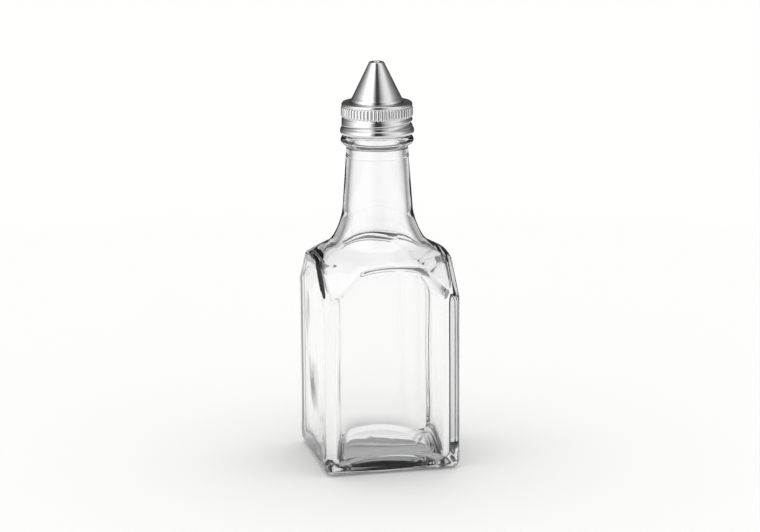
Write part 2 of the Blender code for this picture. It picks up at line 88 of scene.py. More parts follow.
sideways = Vector((math.cos(CAMERA_AZIMUTH), math.sin(CAMERA_AZIMUTH), 0.0))
backwards = Vector((
    math.sin(CAMERA_AZIMUTH) * math.cos(CAMERA_HEIGHT_ANGLE),
    -math.cos(CAMERA_AZIMUTH) * math.cos(CAMERA_HEIGHT_ANGLE),
    math.sin(CAMERA_HEIGHT_ANGLE),
))
aim = Vector((0.0, 0.0, AIM_Z)) + sideways * AIM_ASIDE
bpy.ops.object.camera_add(location=aim + backwards * CAMERA_DISTANCE)
camera = bpy.context.object
camera.name = "studio_camera"
camera.rotation_mode = "QUATERNION"
camera.rotation_quaternion = (-backwards).to_track_quat("-Z", "Y")
camera.rotation_quaternion.rotate(Quaternion(backwards, -CAMERA_ROLL))
camera.data.lens = LENS_MM
camera.data.clip_end = CLIP_END
bpy.context.scene.camera = camera
print("camera at", [round(v, 3) for v in camera.location])

# %% [markdown]
# ## Colour and nodes
#
# Colours are picked as the hex values that a colour picker shows. Blender's shaders work with
# linear light, so one function turns the first into the second. Another adds a node with its
# settings and its links, which keeps each material short enough to read.

# %% Two small helpers for materials
def linear(hex_colour):
    """An sRGB hex colour as linear red, green, blue and 1."""
    shares = [int(hex_colour[i:i + 2], 16) / 255.0 for i in (1, 3, 5)]
    light = [v / 12.92 if v <= 0.04045 else ((v + 0.055) / 1.055) ** 2.4 for v in shares]
    return (*light, 1.0)


def add_node(tree, kind, settings=None, inputs=None, links=None):
    """Add a node; settings are its properties, inputs its values, links its incoming sockets."""
    node = tree.nodes.new(kind)
    for key, value in (settings or {}).items():
        setattr(node, key, value)
    for key, value in (inputs or {}).items():
        node.inputs[key].default_value = value
    for key, socket in (links or {}).items():
        tree.links.new(socket, node.inputs[key])
    return node


def new_material(name):
    """A new material, its node tree and its Principled shader."""
    material = bpy.data.materials.new(name)
    material.use_nodes = True
    tree = material.node_tree
    return material, tree, tree.nodes["Principled BSDF"]


print("mid grey #808080 is", round(linear("#808080")[0], 3), "in linear light")

# %% [markdown]
# ## Studio
#
# Clear glass has hardly any look of its own: it shows what stands round it. A studio lights it
# with a bright field: a white floor and a white surround low down, with darkness above and
# beside it that the glass bends into view as dark edges. Polished metal wants the opposite, a
# few large soft panels with a dark gap between them. Both can be had at once, because a panel
# in Blender can be shown to refracted rays alone or to reflected rays alone. None of the panels
# is seen directly, and none throws a shadow on the floor.

# %% Floor
# A sheet of white board with a matt face: it takes a soft shadow and hardly mirrors anything.
FLOOR_DROP = 0.0005
FLOOR_SIDE = 12.0
bpy.ops.object.select_all(action="DESELECT")
bpy.ops.mesh.primitive_plane_add(size=FLOOR_SIDE, location=(0.0, 0.0, -FLOOR_DROP))
floor = bpy.context.object
floor.name = "studio_floor"
floor_paint, tree, shader = new_material("matt_white_sweep_board")
shader.inputs["Base Color"].default_value = linear("#F9F9F8")
shader.inputs["Roughness"].default_value = 0.9
shader.inputs["Specular IOR Level"].default_value = 0.1
floor.data.materials.append(floor_paint)
print(floor.name, FLOOR_SIDE, "m wide")

# %% Surround
TENT_STRENGTH = 1.06
world = bpy.data.worlds.new("light_tent")
bpy.context.scene.world = world
world.use_nodes = True
background = world.node_tree.nodes["Background"]
background.inputs["Color"].default_value = linear("#FFFFFF")
background.inputs["Strength"].default_value = TENT_STRENGTH
bpy.context.scene.view_settings.view_transform = "Standard"
print("light tent at strength", TENT_STRENGTH)

# %% A studio panel
def hide_panel(panel, for_glass):
    """Show a panel only to refracted rays (for the glass) or only to reflected ones."""
    panel.visible_camera = panel.visible_diffuse = panel.visible_shadow = False
    panel.visible_volume_scatter = False
    panel.visible_transmission = for_glass
    panel.visible_glossy = not for_glass


def add_panel(name, size, location, rotation, material):
    """A flat panel that only the glass sees."""
    bpy.ops.object.select_all(action="DESELECT")
    bpy.ops.mesh.primitive_plane_add(size=1.0, location=location, rotation=rotation)
    panel = bpy.context.object
    panel.name = name
    panel.scale = (*size, 1.0)
    panel.data.materials.append(material)
    hide_panel(panel, for_glass=True)
    print(name, [round(side, 3) for side in size], "m")


def flat_light(name, grey, strength=1.0):
    """A panel's paint, an even glow that needs no lamp, with its node tree and the glow node."""
    paint = bpy.data.materials.new(name)
    paint.use_nodes = True
    tree = paint.node_tree
    tree.nodes.clear()
    glow = add_node(tree, "ShaderNodeEmission", None, {"Color": linear(grey), "Strength": strength})
    add_node(tree, "ShaderNodeOutputMaterial", None, None, {"Surface": glow.outputs["Emission"]})
    paint.cycles.emission_sampling = "NONE"
    return paint, tree, glow

# %% Dark panels for the glass
# The canopy is a dark cloth that leans back over the bottle from behind. The square under its foot
# is painted shade: an even grey glow that only the glass sees, standing in for the shade under the bottle.
AWAY = CAMERA_AZIMUTH + math.pi / 2.0
dark_cloth = flat_light("dark_studio_cloth", "#707070")[0]
shade_patch_paint = flat_light("grey_painted_shade_patch", "#ABABAB")[0]
CANOPY_FAR, CANOPY_LOW, CANOPY_HIGH, CANOPY_WIDTH = 0.8, 0.2, 0.9, 2.4
canopy_length = math.hypot(CANOPY_FAR, CANOPY_HIGH - CANOPY_LOW)
canopy_lean = math.atan2(CANOPY_HIGH - CANOPY_LOW, CANOPY_FAR)
middle = Vector((math.cos(AWAY), math.sin(AWAY), 0.0)) * (CANOPY_FAR / 2.0)
middle.z = (CANOPY_LOW + CANOPY_HIGH) / 2.0
add_panel("studio_canopy", (CANOPY_WIDTH, canopy_length), middle,
          (-canopy_lean, 0.0, AWAY - math.pi / 2.0), dark_cloth)

# Painted shade: a grey square under the bottle's foot, seen only by the glass.
SHADE_PATCH_SIDE = 0.052
shade_patch_place = (0.0, 0.0, -FLOOR_DROP / 2.0)
add_panel("studio_painted_shade_patch", (SHADE_PATCH_SIDE, SHADE_PATCH_SIDE), shade_patch_place, (0.0, 0.0, 0.0), shade_patch_paint)

# %% [markdown]
# ## Drums of light
#
# The panels that stand round the bottle are drawn as one upright drum for the glass and one for
# the metal. A radial gradient gives each point of a drum its bearing, and a colour ramp turns
# the bearing into brightness, so a soft panel is two close stops and a dark gap is two low ones.

# %% A drum of panels
DRUM_SIDES = 96


def add_drum(name, radius, height, panels, glow_strength, for_glass):
    """An upright drum whose glow depends on the bearing; bearing 0 faces the camera's side."""
    bpy.ops.object.select_all(action="DESELECT")
    bpy.ops.mesh.primitive_cylinder_add(
        vertices=DRUM_SIDES, radius=radius, depth=height, end_fill_type="NOTHING",
        location=(0.0, 0.0, height / 2.0), rotation=(0.0, 0.0, AWAY + math.pi))
    drum = bpy.context.object
    drum.name = name
    paint, tree, glow = flat_light(name + "_glow", "#FFFFFF", glow_strength)
    where = add_node(tree, "ShaderNodeTexCoord")
    bearing = add_node(tree, "ShaderNodeTexGradient", {"gradient_type": "RADIAL"}, None,
                       {"Vector": where.outputs["Object"]})
    ramp = add_node(tree, "ShaderNodeValToRGB", None, None, {"Fac": bearing.outputs["Fac"]})
    while len(ramp.color_ramp.elements) < len(panels):
        ramp.color_ramp.elements.new(0.5)
    for stop, (degrees, brightness) in zip(ramp.color_ramp.elements, panels):
        stop.position = 0.5 + degrees / 360.0
        stop.color = (brightness, brightness, brightness, 1.0)
    tree.links.new(ramp.outputs["Color"], glow.inputs["Color"])
    drum.data.materials.append(paint)
    hide_panel(drum, for_glass)
    print(name, "with", len(panels), "stops")

# %% Side panels for the glass
GLASS_DRUM_RADIUS, GLASS_DRUM_HEIGHT = 0.36, 0.14
GLASS_GLOW = 1.0
GLASS_PANELS = ((-165, 1.0), (-152, 0.6), (-138, 0.32), (-90, 0.32), (-40, 0.6),
                (40, 0.6), (90, 0.32), (138, 0.32), (152, 0.6), (165, 1.0))
add_drum("studio_glass_drum", GLASS_DRUM_RADIUS, GLASS_DRUM_HEIGHT, GLASS_PANELS, GLASS_GLOW,
         for_glass=True)

# %% Soft panels and a dark gap for the metal
METAL_DRUM_RADIUS, METAL_DRUM_HEIGHT = 0.5, 1.4
METAL_GLOW = 1.65
METAL_PANELS = ((-150, 0.05), (-116, 0.22), (-95, 0.5), (-74, 0.9), (-58, 1.0),
                (-26, 1.0), (-14, 0.35), (-5, 0.03), (13, 0.04), (25, 0.3),
                (48, 0.66), (74, 0.7), (92, 0.36), (114, 0.16), (150, 0.05))
add_drum("studio_metal_drum", METAL_DRUM_RADIUS, METAL_DRUM_HEIGHT, METAL_PANELS, METAL_GLOW,
         for_glass=False)

# %% [markdown]
# ## Turning a section
#
# Bottle, band, cone and gasket are all round at heart, so each starts on the same lathe. A mesh
# circle is opened out into the piece's section, half a cut through it, and the section is spun
# round the Z axis. Each point of the section carries its number as an attribute, which the spin
# copies, so a later step can still tell one ring of the turned piece from the next.

# %% The lathe
BLANK_RADIUS = 0.01
MERGE_DISTANCE = 1e-7


def turn_section(name, section, steps, closed=True):
    """Spin a section of (radius, height) points in millimetres round Z into a new object."""
    bpy.ops.object.select_all(action="DESELECT")
    bpy.ops.mesh.primitive_circle_add(vertices=len(section), radius=BLANK_RADIUS)
    piece = bpy.context.object
    piece.name = piece.data.name = name
    for vertex, (radius, z) in zip(piece.data.vertices, section):
        vertex.co = (radius * MM, 0.0, z * MM)
    station = piece.data.attributes.new("station", "INT", "POINT")
    station.data.foreach_set("value", range(len(section)))
    bpy.ops.object.mode_set(mode="EDIT")
    bpy.ops.mesh.select_mode(type="EDGE")
    if not closed:
        bpy.ops.mesh.select_all(action="DESELECT")
        bpy.ops.object.mode_set(mode="OBJECT")
        ends = {0, len(section) - 1}
        for edge in piece.data.edges:
            edge.select = set(edge.vertices) == ends
        bpy.ops.object.mode_set(mode="EDIT")
        bpy.ops.mesh.delete(type="EDGE")
    bpy.ops.mesh.select_mode(type="VERT")
    bpy.ops.mesh.select_all(action="SELECT")
    bpy.ops.mesh.spin(steps=steps, angle=TURN, center=(0, 0, 0), axis=(0, 0, 1))
    bpy.ops.mesh.select_all(action="SELECT")
    bpy.ops.mesh.remove_doubles(threshold=MERGE_DISTANCE)
    bpy.ops.mesh.select_all(action="SELECT")
    bpy.ops.mesh.normals_make_consistent(inside=False)
    bpy.ops.object.mode_set(mode="OBJECT")
    return piece


def stations_of(piece):
    """Each vertex's section number, its direction round the axis and its place, as arrays."""
    count = len(piece.data.vertices)
    number = np.empty(count, dtype=np.int32)
    piece.data.attributes["station"].data.foreach_get("value", number)
    place = np.empty(count * 3)
    piece.data.vertices.foreach_get("co", place)
    place = place.reshape(count, 3)
    return number, np.arctan2(place[:, 1], place[:, 0]), place


def finish_piece(piece, material, body, node, sharp_degrees):
    """Shade, paint and mount a finished piece in place of its plain node."""
    bpy.ops.object.select_all(action="DESELECT")
    piece.select_set(True)
    bpy.context.view_layer.objects.active = piece
    bpy.ops.object.shade_smooth_by_angle(angle=math.radians(sharp_degrees))
    piece.data.attributes.remove(piece.data.attributes["station"])
    piece.data.materials.append(material)
    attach(piece, body)
    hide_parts(node)
    print(piece.name, len(piece.data.polygons), "faces")

# %% Steps along arcs and heights
def arc(centre_r, centre_z, radius, start_degrees, end_degrees, steps):
    """Points (radius from axis, height) along an arc in the section plane."""
    sweep = [start_degrees + (end_degrees - start_degrees) * i / steps for i in range(steps + 1)]
    return [(centre_r + radius * math.cos(math.radians(a)),
             centre_z + radius * math.sin(math.radians(a))) for a in sweep]


def between(low, high, steps):
    """Evenly spaced values after low, up to and including high."""
    return [low + (high - low) * i / steps for i in range(1, steps + 1)]


print("a half turn in 4 steps ends at", [round(v, 3) for v in arc(0.0, 0.0, 1.0, 0.0, 180.0, 4)[-1]])

# %% [markdown]
# ## The shape of the glass
#
# The body is a square prism whose four upper corners are cut off by sloping facets, under a
# turned shoulder that sweeps into the neck. Glass leaves the mould hot enough to round every
# edge a little. So each outline is a radius along a direction, and where two surfaces meet the
# smaller radius wins through a soft minimum, which rounds the edge as the heat does.

# %% Outlines of the body
CORNER_RADIUS = 3.5
HEEL_RADIUS = 3.0
FACET_FOOT_Z = 72.1
BAR_HALF_LENGTH = 12.4
BAR_PEAK_Z = 87.2
SHOULDER_SLOPE = 0.53
EDGE_BLEND = 1.6
FACET_BLEND = 1.2
HALF = SIDE / 2.0


def soft_min(a, b, blend):
    """The smaller of two radii, eased over a blend distance where they cross."""
    share = max(blend - abs(a - b), 0.0) / blend
    return min(a, b) - share * share * blend / 4.0


def fold(angle):
    """Fold a direction into the half-quadrant from a face's middle to a corner."""
    angle = angle % (TURN / 4.0)
    return min(angle, TURN / 4.0 - angle)

# %% A square with rounded corners, and the plane that cuts each corner off
def square_radius(angle, half, corner):
    """Distance from the axis to a square with rounded corners."""
    a = fold(angle)
    centre = half - corner
    if half * math.tan(a) <= centre:
        return half / math.cos(a)
    along = centre * (math.cos(a) + math.sin(a))
    return along + math.sqrt(along * along - 2.0 * centre * centre + corner * corner)


def cone_z(radius):
    """Height of the shoulder's straight slope at a radius."""
    return BAR_PEAK_Z + (HALF - radius) * SHOULDER_SLOPE


FACET_FOOT = (HALF - CORNER_RADIUS) * math.sqrt(2.0) + CORNER_RADIUS
FACET_LEAN = ((FACET_FOOT - (HALF + BAR_HALF_LENGTH) / math.sqrt(2.0))
              / (cone_z(math.hypot(HALF, BAR_HALF_LENGTH)) - FACET_FOOT_Z))


def facet_distance(z, inset=0.0):
    """Distance from the axis to the plane that cuts each corner off, moved in by inset."""
    return FACET_FOOT - FACET_LEAN * (z - FACET_FOOT_Z) - inset * math.hypot(1.0, FACET_LEAN)


def facet_radius(angle, z, inset=0.0):
    """The same plane along a direction; above the shoulder's edge it cuts nothing more."""
    return facet_distance(min(z, BAR_PEAK_Z), inset) / math.cos(TURN / 8.0 - fold(angle))


def shoulder_edge_z(angle):
    """Height of the edge where the walls or the facets meet the turned shoulder."""
    on_face = cone_z(HALF / math.cos(fold(angle)))
    reach = math.cos(TURN / 8.0 - fold(angle))
    level = cone_z(0.0) - SHOULDER_SLOPE * (FACET_FOOT + FACET_LEAN * FACET_FOOT_Z) / reach
    return max(on_face, level / (1.0 - SHOULDER_SLOPE * FACET_LEAN / reach))


print(f"facets start at {FACET_FOOT_Z} mm and meet the shoulder at {shoulder_edge_z(TURN / 8):.1f} mm")

# %% [markdown]
# ## Shoulder and neck
#
# Above the facets everything is round. A short cone leads to a Bezier curve that carries the
# shoulder up into the gently tapering neck. The curve gives a height and a radius for each
# value of t, and a bisection finds the t that belongs to a height.

# %% Profile of shoulder and neck
FLARE = ((21.5, 90.9), (18.0, 92.8), (15.0, 101.0), (14.5, 105.5))
NECK_TOP_RADIUS = 12.65
NECK_TOP_Z = 131.0


def flare_point(t):
    """A point (radius, height) on the curve from the shoulder up into the neck."""
    weights = ((1 - t) ** 3, 3 * t * (1 - t) ** 2, 3 * t * t * (1 - t), t ** 3)
    return tuple(sum(w * p[k] for w, p in zip(weights, FLARE)) for k in (0, 1))


def turned_radius(z):
    """Radius of the turned shoulder, flare and neck at a height."""
    if z <= FLARE[0][1]:
        return max(HALF + (BAR_PEAK_Z - z) / SHOULDER_SLOPE, FLARE[0][0])
    if z >= FLARE[3][1]:
        share = (z - FLARE[3][1]) / (NECK_TOP_Z - FLARE[3][1])
        return FLARE[3][0] + share * (NECK_TOP_RADIUS - FLARE[3][0])
    low, high = 0.0, 1.0
    for _ in range(40):
        middle = (low + high) / 2.0
        low, high = (middle, high) if flare_point(middle)[1] < z else (low, middle)
    return flare_point(low)[0]


PARTING_Z = 127.6
PARTING_HEIGHT = 0.16
PARTING_WIDTH = 0.25


def outer_radius(angle, z):
    """The outside of body, shoulder and neck, with the fine line where the mould's halves met."""
    square = square_radius(angle, HALF, CORNER_RADIUS)
    walls = soft_min(square, facet_radius(angle, z), FACET_BLEND)
    seam = PARTING_HEIGHT * math.exp(-((z - PARTING_Z) / PARTING_WIDTH) ** 2)
    return soft_min(walls, turned_radius(z), EDGE_BLEND) + seam


print(f"neck {turned_radius(FLARE[3][1]):.2f} mm in radius at its foot, {NECK_TOP_RADIUS} at its top")

# %% [markdown]
# ## The cavity
#
# The hollow inside is softer than the outside, because air and not steel shaped it. Its corners
# are wide, its shoulder is a smooth arch, and its walls wander by a tenth of a millimetre. That
# slight waviness is what makes old-fashioned glass swim when the eye moves.

# %% Outlines of the cavity
WALL = 3.1
NECK_WALL = 2.2
SHOULDER_DROP = 2.2
CAVITY_CORNER = 7.5
CAVITY_BLEND = 4.0
CAVITY_FACET_BLEND = 2.0
WANDER = 0.12
# Each wave: its share, how many times it goes round, millimetres a radian upwards, its start.
WAVES = ((1.0, 3.0, 11.0, 0.0), (0.7, 5.0, -7.3, 1.3), (0.5, 2.0, 4.9, 0.4))


def wander(angle, z):
    """The slow unevenness of the inner wall, from a few waves that don't line up."""
    wave = sum(share * math.sin(times * angle + z / rise + start) for share, times, rise, start in WAVES)
    return WANDER * wave / sum(share for share, times, rise, start in WAVES)


def inner_radius(angle, z):
    """The cavity of body, shoulder and neck."""
    square = square_radius(angle, HALF - WALL, CAVITY_CORNER)
    walls = soft_min(square, facet_radius(angle, z, WALL), CAVITY_FACET_BLEND)
    turned = turned_radius(z + SHOULDER_DROP) - NECK_WALL
    return soft_min(walls, turned, CAVITY_BLEND) + wander(angle, z)


print(f"wall {WALL} mm in the body, {NECK_WALL} mm in the neck")

# %% [markdown]
# ## The screw thread
#
# One raised thread winds a little more than once round the glass, and one rolled groove winds
# between its turns in the band. Both come from the same helix, so they slide past each other
# when the band turns. Each end fades out over a few degrees.

# %% Thread on the glass and groove in the band
THREAD_PITCH = 4.233
THREAD_START_ANGLE = math.radians(-28.0)
THREAD_START_Z = 139.0
THREAD_TURNS = 1.3
THREAD_FADE = 0.08
ROOT_RADIUS = 12.75
THREAD_HEIGHT = 1.05
THREAD_BASE = 2.2
THREAD_CREST = 0.6
GROOVE_DEPTH = 0.65
GROOVE_BASE = 2.5
GROOVE_CREST = 0.3


def smooth_step(value):
    """0 below 0, 1 above 1, and an easy curve between."""
    value = max(0.0, min(1.0, value))
    return value * value * (3.0 - 2.0 * value)


def thread_share(angle, z, start_z, base, crest):
    """How much of a thread's height stands at a direction and height, from 0 to 1."""
    turn = ((angle - THREAD_START_ANGLE) / TURN) % 1.0
    best = 0.0
    while turn <= THREAD_TURNS:
        offset = abs(z - start_z - THREAD_PITCH * turn)
        flank = smooth_step((base / 2.0 - offset) / ((base - crest) / 2.0))
        fade = smooth_step(min(turn, THREAD_TURNS - turn) / THREAD_FADE)
        best = max(best, flank * fade)
        turn += 1.0
    return best


def finish_radius(angle, z):
    """The glass finish: its root cylinder with the moulded thread on it."""
    share = thread_share(angle, z, THREAD_START_Z, THREAD_BASE, THREAD_CREST)
    return ROOT_RADIUS + THREAD_HEIGHT * share


def groove_drop(angle, z):
    """How far the rolled groove presses the band's sheet inwards."""
    start_z = THREAD_START_Z - THREAD_PITCH / 2.0
    return GROOVE_DEPTH * thread_share(angle, z, start_z, GROOVE_BASE, GROOVE_CREST)


print(f"thread {2.0 * (ROOT_RADIUS + THREAD_HEIGHT):.1f} mm over its crests, {THREAD_TURNS} turns")

# %% [markdown]
# ## Blowing the bottle
#
# The glass is turned first as a round blank, like the gather a glassmaker starts with, and then
# every ring of it is moved out to the mould's outline. Rays from the axis are shared between
# flat sides and corners so that an edge of the mesh runs along each edge of the facets, which
# keeps the edge crisp without a boolean's slivers. Slivers don't matter on a painted piece, but
# glass would bend the light at each of them.

# %% Rays round the axis
SIDE_RAYS = 28
CORNER_RAYS = 12
RAYS = 4 * (SIDE_RAYS + CORNER_RAYS)
EVEN_EDGE = TURN / 8.0 * SIDE_RAYS / (SIDE_RAYS + CORNER_RAYS)
FLAT_EDGE = math.atan((HALF - CORNER_RADIUS) / HALF)


def split_directions(edge):
    """Directions shared between four sides, each edge wide either way, and four corners."""
    corner = TURN / 4.0 - 2.0 * edge
    angles = []
    for quarter in range(4):
        start = quarter * TURN / 4.0
        angles += [start - edge + 2.0 * edge * i / SIDE_RAYS for i in range(SIDE_RAYS)]
        angles += [start + edge + corner * i / CORNER_RAYS for i in range(CORNER_RAYS)]
    return angles


def wall_edge(z_at):
    """Half the angle of a flat side: to its corner round, or to the facet that cuts it."""
    edge = FLAT_EDGE
    for _ in range(16):
        cut = facet_distance(z_at(edge)) * math.sqrt(2.0) - HALF
        edge = math.atan(min(HALF - CORNER_RADIUS, cut) / HALF)
    return edge


def ring(angles, radius_at, z_at):
    """One ring as a list of (direction, radius, height), in millimetres."""
    heights = [z_at(a) if callable(z_at) else z_at for a in angles]
    return [(a, radius_at(a, z), z) for a, z in zip(angles, heights)]


def round_ring(angles, radius, z):
    """One ring that is round and level."""
    return [(a, radius, z) for a in angles]


print(RAYS, "rays, flat sides reach", round(math.degrees(FLAT_EDGE), 1), "degrees either way")

# %% [markdown]
# ## Rings from the foot to the floor
#
# The mould's bottom pushes the glass up into a dome, so that the bottle stands on a flat ring and
# can't rock. Fine ribs across that ring, called a nurl, keep the hot glass off the belt. All the
# rings run in one chain: over the push-up, up the outside, over the lip, and down the inside to
# the domed floor. An outside and an inside made apart would have to be joined at the lip.

# %% Rings of the underside
PUSH_UP_RADIUS = 21.5
PUSH_UP_HEIGHT = 5.0
PUSH_UP_POWER = 1.4
NURL_HEIGHT = 0.3
HEEL_CORNER = CORNER_RADIUS - HEEL_RADIUS


def underside_rings():
    """The domed push-up, the nurled standing ring and the rounded heel."""
    flat = split_directions(FLAT_EDGE)
    rings = []
    for degrees in between(90.0, 0.0, 9):
        radius = PUSH_UP_RADIUS * math.cos(math.radians(degrees))
        height = PUSH_UP_HEIGHT * math.sin(math.radians(degrees)) ** PUSH_UP_POWER
        rings.append(round_ring(flat, radius, height))
    heels = [square_radius(a, HALF - HEEL_RADIUS, HEEL_CORNER) for a in flat]
    for share in between(0.0, 1.0, 6):
        nurl = NURL_HEIGHT if share < 1.0 else 0.0
        rings.append([(a, PUSH_UP_RADIUS + share * (heel - PUSH_UP_RADIUS), nurl * (i % 2))
                      for i, (a, heel) in enumerate(zip(flat, heels))])
    for r, z in arc(HALF - HEEL_RADIUS, HEEL_RADIUS, HEEL_RADIUS, -90.0, 0.0, 8)[1:]:
        corner = CORNER_RADIUS - (HALF - r)
        rings.append([(a, square_radius(a, r, corner), z) for a in flat])
    return rings


foot_rings = underside_rings()
print(len(foot_rings), "rings from the push-up to the heel")

# %% Rings of the walls, the facets, the shoulder and the neck
BELOW_FACETS = 1.5
RIM_SHARE = 0.82
SLOPE_SHARE = 0.4
PARTING_ZONE = 1.0


def wall_rings():
    """Up the walls, then up the facets and over the shoulder's edge, which the rings follow."""
    flat = split_directions(FLAT_EDGE)
    rings = [ring(flat, outer_radius, z) for z in between(HEEL_RADIUS, FACET_FOOT_Z - BELOW_FACETS, 12)]
    for share in [0.0] + between(0.0, RIM_SHARE, 9) + between(RIM_SHARE, 1.0, 6):

        def height(a, k=share):
            return FACET_FOOT_Z + k * (shoulder_edge_z(a) - FACET_FOOT_Z)

        rings.append(ring(split_directions(wall_edge(height)), outer_radius, height))
    return rings


def shoulder_rings():
    """From the shoulder's edge up the slope and the flare to the top of the neck."""
    bar = wall_edge(shoulder_edge_z)
    rings = []
    for share in between(0.0, SLOPE_SHARE, 6) + between(SLOPE_SHARE, 1.0, 6):

        def height(a, k=share):
            return shoulder_edge_z(a) + k * (FLARE[0][1] - shoulder_edge_z(a))

        angles = split_directions(bar + (EVEN_EDGE - bar) * smooth_step(share))
        rings.append(ring(angles, outer_radius, height))
    even = split_directions(EVEN_EDGE)
    heights = between(FLARE[0][1], FLARE[3][1], 22)
    heights += between(FLARE[3][1], PARTING_Z - PARTING_ZONE, 12)
    heights += between(PARTING_Z - PARTING_ZONE, PARTING_Z + PARTING_ZONE, 8)
    heights += between(PARTING_Z + PARTING_ZONE, NECK_TOP_Z, 3)
    return rings + [ring(even, outer_radius, z) for z in heights]


side_rings = wall_rings() + shoulder_rings()
print(len(side_rings), "rings from the heel to the top of the neck")

# %% Rings of the bead, the finish and the bore
BEAD_RADIUS = 15.0
BEAD_TOP_Z = 136.0
BEAD_ROUND = 1.9
BEAD_ROUND_Z = NECK_TOP_Z + 3.2
BEAD_EDGE = 0.7
BEAD_EDGE_INSET = 1.2
NECK_FILLET = 1.3
NECK_FILLET_Z = NECK_TOP_Z + 0.25
ROOT_FILLET = 0.4
ABOVE_BEAD = 0.5
BORE_RADIUS = 9.6
LIP_ROUND = 0.75
BORE_ROUND = 0.6
BELOW_LIP = 1.0
STEP_TOP_Z = NECK_TOP_Z + 2.0
STEP_FOOT_Z = NECK_TOP_Z - 1.0


def finish_rings():
    """Over the bead, up the thread, over the lip and down the bore."""
    even = split_directions(EVEN_EDGE)
    profile = arc(NECK_TOP_RADIUS + NECK_FILLET, NECK_FILLET_Z, NECK_FILLET, 180.0, 115.0, 4)
    profile += arc(BEAD_RADIUS - BEAD_ROUND, BEAD_ROUND_Z, BEAD_ROUND, -65.0, 40.0, 9)
    profile += arc(BEAD_RADIUS - BEAD_EDGE_INSET, BEAD_TOP_Z - BEAD_EDGE, BEAD_EDGE, 30.0, 90.0, 3)
    profile += arc(ROOT_RADIUS + ROOT_FILLET, BEAD_TOP_Z + ROOT_FILLET, ROOT_FILLET, -90.0, -180.0, 3)
    rings = [round_ring(even, r, z) for r, z in profile]
    rings += [ring(even, finish_radius, z)
              for z in between(BEAD_TOP_Z + ABOVE_BEAD, LIP_Z - LIP_ROUND, 44)]
    profile = arc(ROOT_RADIUS - LIP_ROUND, LIP_Z - LIP_ROUND, LIP_ROUND, 15.0, 90.0, 5)
    profile += arc(BORE_RADIUS + BORE_ROUND, LIP_Z - BORE_ROUND, BORE_ROUND, 90.0, 180.0, 5)
    profile += [(BORE_RADIUS, z) for z in between(LIP_Z - BELOW_LIP, STEP_TOP_Z, 5)]
    return rings + [round_ring(even, r, z) for r, z in profile]


mouth_rings = finish_rings()
print(len(mouth_rings), "rings over the bead, the thread and the lip")

# %% Rings of the cavity and its floor
FLOOR_EDGE_Z = 6.4
FLOOR_DOME = 4.6
FLOOR_FILLET = 3.5
FLOOR_REACH = HALF - WALL - FLOOR_FILLET
FLOOR_CORNER = CAVITY_CORNER - FLOOR_FILLET
ABOVE_FILLET = 2.0
FLOOR_HUB = 0.08
ARCH_FOOT_Z = FACET_FOOT_Z - 4.0


def floor_z(radius):
    """Height of the domed cavity floor, which falls away from the axis towards the corners."""
    return FLOOR_EDGE_Z + FLOOR_DOME * (1.0 - (radius / FLOOR_REACH) ** 2)


def fillet_foot(angle):
    """Where the floor meets the fillet round its edge."""
    return square_radius(angle, FLOOR_REACH, FLOOR_CORNER)


def cavity_rings():
    """Down the neck, the arched shoulder and the walls, round the floor's edge to its dome."""
    even, flat = split_directions(EVEN_EDGE), split_directions(FLAT_EDGE)
    rings = []
    for share in between(0.0, 1.0, 8):

        def stepped(a, h, k=smooth_step(share)):
            return BORE_RADIUS + k * (inner_radius(a, h) - BORE_RADIUS)

        rings.append(ring(even, stepped, STEP_TOP_Z + share * (STEP_FOOT_Z - STEP_TOP_Z)))
    rings += [ring(even, inner_radius, z) for z in between(STEP_FOOT_Z, FLARE[3][1], 14)]
    for share in between(0.0, 1.0, 26):
        z = FLARE[3][1] + share * (ARCH_FOOT_Z - FLARE[3][1])
        angles = split_directions(EVEN_EDGE + (FLAT_EDGE - EVEN_EDGE) * smooth_step(share))
        rings.append(ring(angles, inner_radius, z))
    foot = floor_z(FLOOR_REACH) + FLOOR_FILLET + ABOVE_FILLET
    rings += [ring(flat, inner_radius, z) for z in between(ARCH_FOOT_Z, foot, 16)]
    for out, up in arc(0.0, 0.0, FLOOR_FILLET, 0.0, -90.0, 10):
        rings.append([(a, square_radius(a, FLOOR_REACH + out, FLOOR_CORNER + out),
                       floor_z(fillet_foot(a)) + FLOOR_FILLET + up) for a in flat])
    for share in between(1.0, FLOOR_HUB, 10):
        radii = [share * (share * fillet_foot(a) + (1.0 - share) * FLOOR_REACH) for a in flat]
        rings.append([(a, r, floor_z(r)) for a, r in zip(flat, radii)])
    return rings


hollow_rings = cavity_rings()
print(len(hollow_rings), "rings from the bore down to the middle of the floor")

# %% Spin the blank and move its rings to the mould
rings = foot_rings + side_rings + mouth_rings + hollow_rings
section = [(0.0, PUSH_UP_HEIGHT)] + [(r[0][1], r[0][2]) for r in rings] + [(0.0, floor_z(0.0))]
bottle = turn_section("glass_bottle_fine", section, RAYS, closed=False)
number, direction, place = stations_of(bottle)
ray = np.rint(direction / TURN * RAYS).astype(int) % RAYS
for index, (station, j) in enumerate(zip(number, ray)):
    if 0 < station <= len(rings):
        angle, radius, z = rings[station - 1][j]
        place[index] = (radius * math.cos(angle) * MM, radius * math.sin(angle) * MM, z * MM)
bottle.data.vertices.foreach_set("co", place.ravel())
bottle.data.update()
print(len(rings), "rings of", RAYS, "points")

# %% [markdown]
# ## Glass
#
# The bottle is soda-lime glass, pressed and blown in an iron mould and fire-polished, so the
# surface is smooth with a faint ripple left by the mould. Its index of refraction is 1.52. It
# looks clear through the walls and grey where the light runs along them, because each
# millimetre takes a little light away, which is a volume absorption and not a surface colour.

